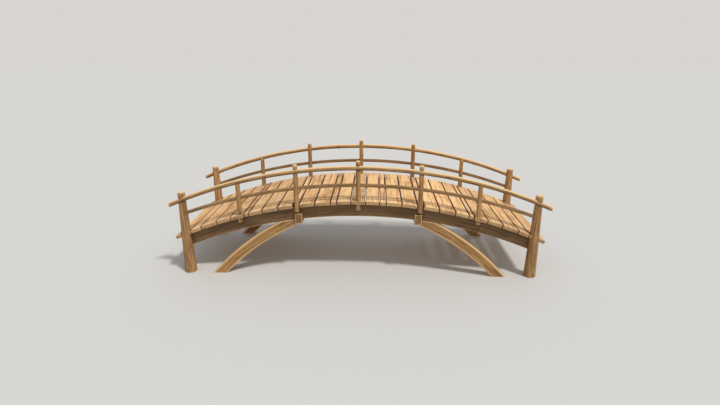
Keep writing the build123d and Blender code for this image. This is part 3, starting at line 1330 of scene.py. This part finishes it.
@dataclass
class Railing:
    """Bent top poles and mid bars, swept along their arches with geometry nodes."""

    layout: Layout
    finishes: Finishes
    top_half: float = 3.765
    top_unevenness: float = 0.006
    # Pale rubbed band and painted highlight along the top rails
    top_hand_wear: float = 2.2
    mid_depth: float = 0.066
    mid_thickness: float = 0.044
    mid_corner: float = 0.009
    mid_unevenness: float = 0.003
    # Only a faint pale band and highlight on the mid bars
    mid_hand_wear: float = 0.1
    # Painted shadow of the top rail, darkening the whole mid bar
    mid_dullness: float = 0.38

    def shape(self) -> NodeShape:
        """Make the tree that bends a bar with eased corners along an arch of a circle.

        Returns:
            The shape, ready to run.
        """
        numbers = {"Apex": 2.0, "Arch Radius": 9.0, "Half Angle": 0.4, "Side": 1.0, "Thickness": 0.09,
                   "Depth": 0.09, "Corner": 0.02, "Unevenness": 0.001}
        inputs = {name: ("Float", value) for name, value in numbers.items()}
        shape = NodeShape("bent_bar", {**inputs, "Steps": ("Int", 200), "Seed": ("Int", 1)})
        graph, given = shape.graph, shape.given
        half, radius = given["Half Angle"], given["Arch Radius"]
        # The path: points along the arch, from one end to the other
        line = graph.add("GeometryNodeMeshLine", {"Count": given["Steps"], "Offset": (0.001, 0, 0)})
        path = graph.add("GeometryNodeMeshToCurve", {0: line})
        share = graph.add("GeometryNodeSplineParameter", out="Factor")
        start = graph.add(MATH, {0: half, 1: -1.0}, operation="MULTIPLY")
        angle = graph.add(RANGE, {"Value": share, "To Min": start, "To Max": half})
        sine = graph.add(MATH, {0: angle}, operation="SINE")
        cosine = graph.add(MATH, {0: angle}, operation="COSINE")
        drop = graph.add(MATH, {0: cosine, 1: 1.0}, operation="SUBTRACT")
        x, below = (graph.add(MATH, {0: part, 1: radius}, operation="MULTIPLY") for part in (sine, drop))
        z = graph.add(MATH, {0: below, 1: given["Apex"]}, operation="ADD")
        spot = graph.add("ShaderNodeCombineXYZ", {0: x, 1: given["Side"], 2: z})
        bent = graph.add("GeometryNodeSetPosition", {"Geometry": path, "Position": spot})
        upright = graph.add("GeometryNodeSetCurveNormal", {0: bent}, mode="Z_UP")
        # The section, with eased corners, swept along it
        section = graph.add("GeometryNodeCurvePrimitiveQuadrilateral", {
            "Width": given["Thickness"], "Height": given["Depth"]}, mode="RECTANGLE")
        eased = graph.add("GeometryNodeFilletCurve", {
            "Curve": section, "Count": 5, "Radius": given["Corner"], "Limit Radius": True}, mode="POLY")
        sweep = graph.add("GeometryNodeCurveToMesh", {
            "Curve": upright, "Profile Curve": eased, "Fill Caps": True})
        # The surface, a little uneven and mostly inwards, to stay inside the CAD shape
        drawn = graph.add(VECTOR, {0: graph.add("GeometryNodeInputPosition"), 1: (2.2, 20.0, 20.0)},
                          operation="MULTIPLY")
        bumps = graph.add(NOISE, {"Vector": drawn, "W": given["Seed"], "Scale": 1.0, "Detail": 1.0}, "Fac",
                          noise_dimensions="4D")
        lowered = graph.add(MATH, {0: bumps, 1: 0.68}, operation="SUBTRACT")
        size = graph.add(MATH, {0: lowered, 1: given["Unevenness"]}, operation="MULTIPLY")
        outward = graph.add(VECTOR, {0: graph.add("GeometryNodeInputNormal"), "Scale": size},
                            operation="SCALE")
        shape.end(graph.add("GeometryNodeSetPosition", {"Geometry": sweep, "Offset": outward}))
        return shape

    def bars(self) -> list[Bar]:
        """Work out the four rails.

        Returns:
            A top rail and a mid rail for each side.
        """
        layout = self.layout
        top, mid = layout.top_rail, layout.mid_rail
        width = 2 * layout.top_rail_radius
        out = []
        for side in Side:
            out.append(Bar(f"top_rail_{side.word}", top, side.value * layout.top_rail_y,
                           top.radius * math.asin(self.top_half / top.radius), width, width,
                           layout.top_rail_radius * 0.999, self.top_unevenness, self.top_hand_wear, 0.0,
                           5 + side.value))
            out.append(Bar(f"mid_rail_{side.word}", mid, side.value * layout.mid_rail_y,
                           mid.radius * math.asin(layout.half_span / mid.radius), self.mid_thickness,
                           self.mid_depth, self.mid_corner, self.mid_unevenness, self.mid_hand_wear,
                           self.mid_dullness, 9 + side.value))
        return out

    def build(self) -> list[Object]:
        """Build both top rails and both mid rails.

        Returns:
            The four rails.
        """
        shape = self.shape()
        pieces = []
        for bar in self.bars():
            values = {**bar.values(), "Finish": self.finishes.poles}
            mesh = self.eased(shape.run(bpy.data.meshes.new(bar.node), values), bar.thickness * 0.16)
            smooth(mesh, 38.0)
            Timber(300 + bar.seed, bar.grain, bar.wear, bar.shade_and_darkening).paint(mesh)
            pieces.append(stand_in("bent", bar.node, mesh, self.finishes.poles))
        return pieces

    def eased(self, mesh: Mesh, width: float) -> Mesh:
        """Round the rims of both ends of a bar.

        Args:
            mesh: The bar, whose ends are its only faces with many corners.
            width: Width of the rounding.

        Returns:
            The same mesh.
        """
        work = opened(mesh)
        rims = [edge for face in work.faces if len(face.verts) > 8 for edge in face.edges]
        bmesh.ops.bevel(work, geom=rims, offset=width, segments=3, profile=0.5, affect="EDGES",
                        clamp_overlap=True)
        return closed(work, mesh)


# Girders, crossbeams and struts


@dataclass
class Understructure:
    """The timbers that carry the deck, from their CAD solids, with pale weathered edges that carry a painted
    highlight.
    """

    layout: Layout
    finishes: Finishes
    nodes: dict[str, Object]
    edge: float = 0.007
    border: float = 0.009
    narrow: float = 0.040
    crossbeam_x: float = 1.185
    crossbeam_z: float = 1.2
    strut_centre: tuple[float, float] = (-0.659, -3.216)
    strut_radius: float = 4.872

    def eased(self, node: str) -> tuple[Mesh, set[int]]:
        """Copy a node's mesh, with eased edges and a narrow border beside each.

        Args:
            node: CAD node to copy.

        Returns:
            The mesh, and its vertices that the border left inside, away from all edges.
        """
        work = opened(self.nodes[node].data)
        bmesh.ops.remove_doubles(work, verts=work.verts, dist=1e-5)
        bmesh.ops.dissolve_limit(work, angle_limit=math.radians(0.8), verts=work.verts, edges=work.edges)
        sharp = [edge for edge in work.edges
                 if len(edge.link_faces) == 2 and edge.calc_face_angle(0.0) > math.radians(30)]
        rounds = set(bmesh.ops.bevel(work, geom=sharp, offset=self.edge, segments=2, profile=0.6,
                                     affect="EDGES", clamp_overlap=True)["faces"])
        broad = [face for face in work.faces if face not in rounds
                 and face.calc_area() / max(edge.calc_length() for edge in face.edges) > self.narrow]
        bmesh.ops.inset_region(work, faces=broad, thickness=self.border, use_boundary=True,
                               use_even_offset=True)
        kept = {vert for face in broad if face.is_valid for vert in face.verts}
        bmesh.ops.triangulate(work, faces=[face for face in work.faces if len(face.verts) > 4])
        work.verts.index_update()
        inner = {vert.index for vert in kept}
        return closed(work, bpy.data.meshes.new(node)), inner

    def girder_grain(self, point: Vector) -> Triple:
        """Fibres follow the girder's arch."""
        along, over = self.layout.deck.unrolled(point)
        return (along, over + 0.2, point.y)

    def crossbeam_grain(self, point: Vector) -> Triple:
        """Fibres run along a crossbeam."""
        return (point.y, abs(point.x) - self.crossbeam_x, point.z - self.crossbeam_z)

    def strut_grain(self, point: Vector) -> Triple:
        """Fibres follow a strut's arc."""
        x, z = abs(point.x) - self.strut_centre[0], point.z - self.strut_centre[1]
        return (math.atan2(z, x) * self.strut_radius, math.hypot(x, z) - self.strut_radius + 0.18,
                abs(point.y) - 1.0)

    def painted_deck_shade(self, point: Vector) -> float:
        """Painted shade of the deck: the timber is darker the closer it lies under the boards."""
        return min(1.0, max(0.3, 0.95 + self.layout.deck.unrolled(point)[1] * 1.5))

    def build(self) -> list[Object]:
        """Build girders, crossbeams and struts.

        Returns:
            The timbers.
        """
        kinds: list[tuple[str, Callable[[Vector], Triple], Callable[[Vector], float]]] = []
        for side in Side:
            # Girders take the painted shade of the deck
            kinds.append((f"girder_{side.word}", self.girder_grain, self.painted_deck_shade))
            kinds += [(f"strut_{side.word}_{end.word}", self.strut_grain, nothing) for end in End]
        kinds += [(f"crossbeam_{end.word}", self.crossbeam_grain, nothing) for end in End]
        pieces = []
        for number, (node, grain, shade_and_darkening) in enumerate(kinds):
            mesh, inner = self.eased(node)
            smooth(mesh, 35.0)
            Timber(400 + number, grain, nothing, shade_and_darkening).paint(mesh)
            # Edges are weathered pale with a painted highlight right up to the border, whatever the face's
            # shape
            wear = [0.0 if index in inner else 1.0 for index in range(len(mesh.vertices))]
            mesh.attributes["wear"].data.foreach_set("value", wear)
            pieces.append(stand_in("sawn", node, mesh, self.finishes.arches))
        return pieces


# Studio


@dataclass
class Studio:
    """Floor, light and camera."""

    camera_place: Triple = (0.3104, -9.3887, 4.3947)
    camera_down: float = 18.826
    camera_turn: float = 1.8806
    focal_pixels: float = 450.95
    image_width: float = 720.0
    floor_reach: float = 120.0
    sun_from: Triple = (0.47, -0.40, 1.0)
    sun_strength: float = 2.0
    sun_angle: float = 7.0
    sun_colour: str = "#FFFAF2"
    sky_strength: float = 0.50
    sky_colour: str = "#FFFFFF"
    backdrop: str = "#D8D5D0"

    def build(self) -> None:
        """Put up the floor, the light and the camera."""
        mesh = bpy.data.meshes.new("floor")
        reach = self.floor_reach
        corners = [(-reach, -reach, 0.0), (reach, -reach, 0.0), (reach, reach, 0.0), (-reach, reach, 0.0)]
        mesh.from_pydata(corners, [], [(0, 1, 2, 3)])
        new_piece("floor", mesh, PaleFloor().build())
        self.light()
        self.world()
        self.camera()

    def light(self) -> None:
        """Set a large soft lamp far off, over the right front corner."""
        lamp = bpy.data.lights.new("key", "SUN")
        lamp.energy = self.sun_strength
        lamp.angle = math.radians(self.sun_angle)
        lamp.color = linear(self.sun_colour)[:3]
        linked("key", lamp).rotation_euler = (-Vector(self.sun_from)).to_track_quat("-Z", "Y").to_euler()

    def world(self) -> None:
        """Light the scene evenly, behind a plain backdrop that only the camera and glass see."""
        world = bpy.data.worlds.new("studio")
        world.use_nodes = True
        world.node_tree.nodes.clear()
        graph = Graph(world.node_tree)
        path = graph.add("ShaderNodeLightPath").node.outputs
        mirrored = graph.add(MATH, {0: path["Is Glossy Ray"], 1: path["Is Transmission Ray"]},
                             operation="MAXIMUM")
        seen = graph.add(MATH, {0: path["Is Camera Ray"], 1: mirrored}, operation="MAXIMUM")
        soft = graph.add(BACKGROUND, {"Color": linear(self.sky_colour), "Strength": self.sky_strength})
        plain = graph.add(BACKGROUND, {"Color": linear(self.backdrop), "Strength": 1.0})
        both = graph.add("ShaderNodeMixShader", {0: seen, 1: soft, 2: plain})
        graph.add("ShaderNodeOutputWorld", {"Surface": both})
        bpy.context.scene.world = world

    def camera(self) -> None:
        """Stand the camera where the photograph was taken from."""
        data = bpy.data.cameras.new("camera")
        data.sensor_width = 36.0
        data.lens = self.focal_pixels * data.sensor_width / self.image_width
        data.clip_end = 400.0
        camera = linked("camera", data)
        camera.location = self.camera_place
        camera.rotation_euler = Euler((math.radians(90 - self.camera_down), 0.0,
                                       math.radians(self.camera_turn)))
        bpy.context.scene.camera = camera


def report(pieces: Iterable[Object]) -> None:
    """Let pieces ride on the bridge and log them.

    Args:
        pieces: Finished pieces.
    """
    for piece in pieces:
        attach(piece, "root")
        LOG.info("%s: %d faces", piece.name, len(piece.data.polygons))


def main() -> None:
    """Build the bridge's looks around its frame."""
    logging.basicConfig(level=logging.INFO, format="%(name)s %(message)s")
    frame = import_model()
    bpy.context.scene.view_settings.view_transform = "Standard"
    layout = Layout()
    finishes = Finishes.build()
    deck = Deck(layout, finishes)
    report(deck.build())
    report([Nails(finishes, deck.nails).build()])
    report(Posts(layout, finishes).build())
    report(Railing(layout, finishes).build())
    report(Understructure(layout, finishes, frame["nodes"]).build())
    Studio().build()


if __name__ == "__main__":
    main()
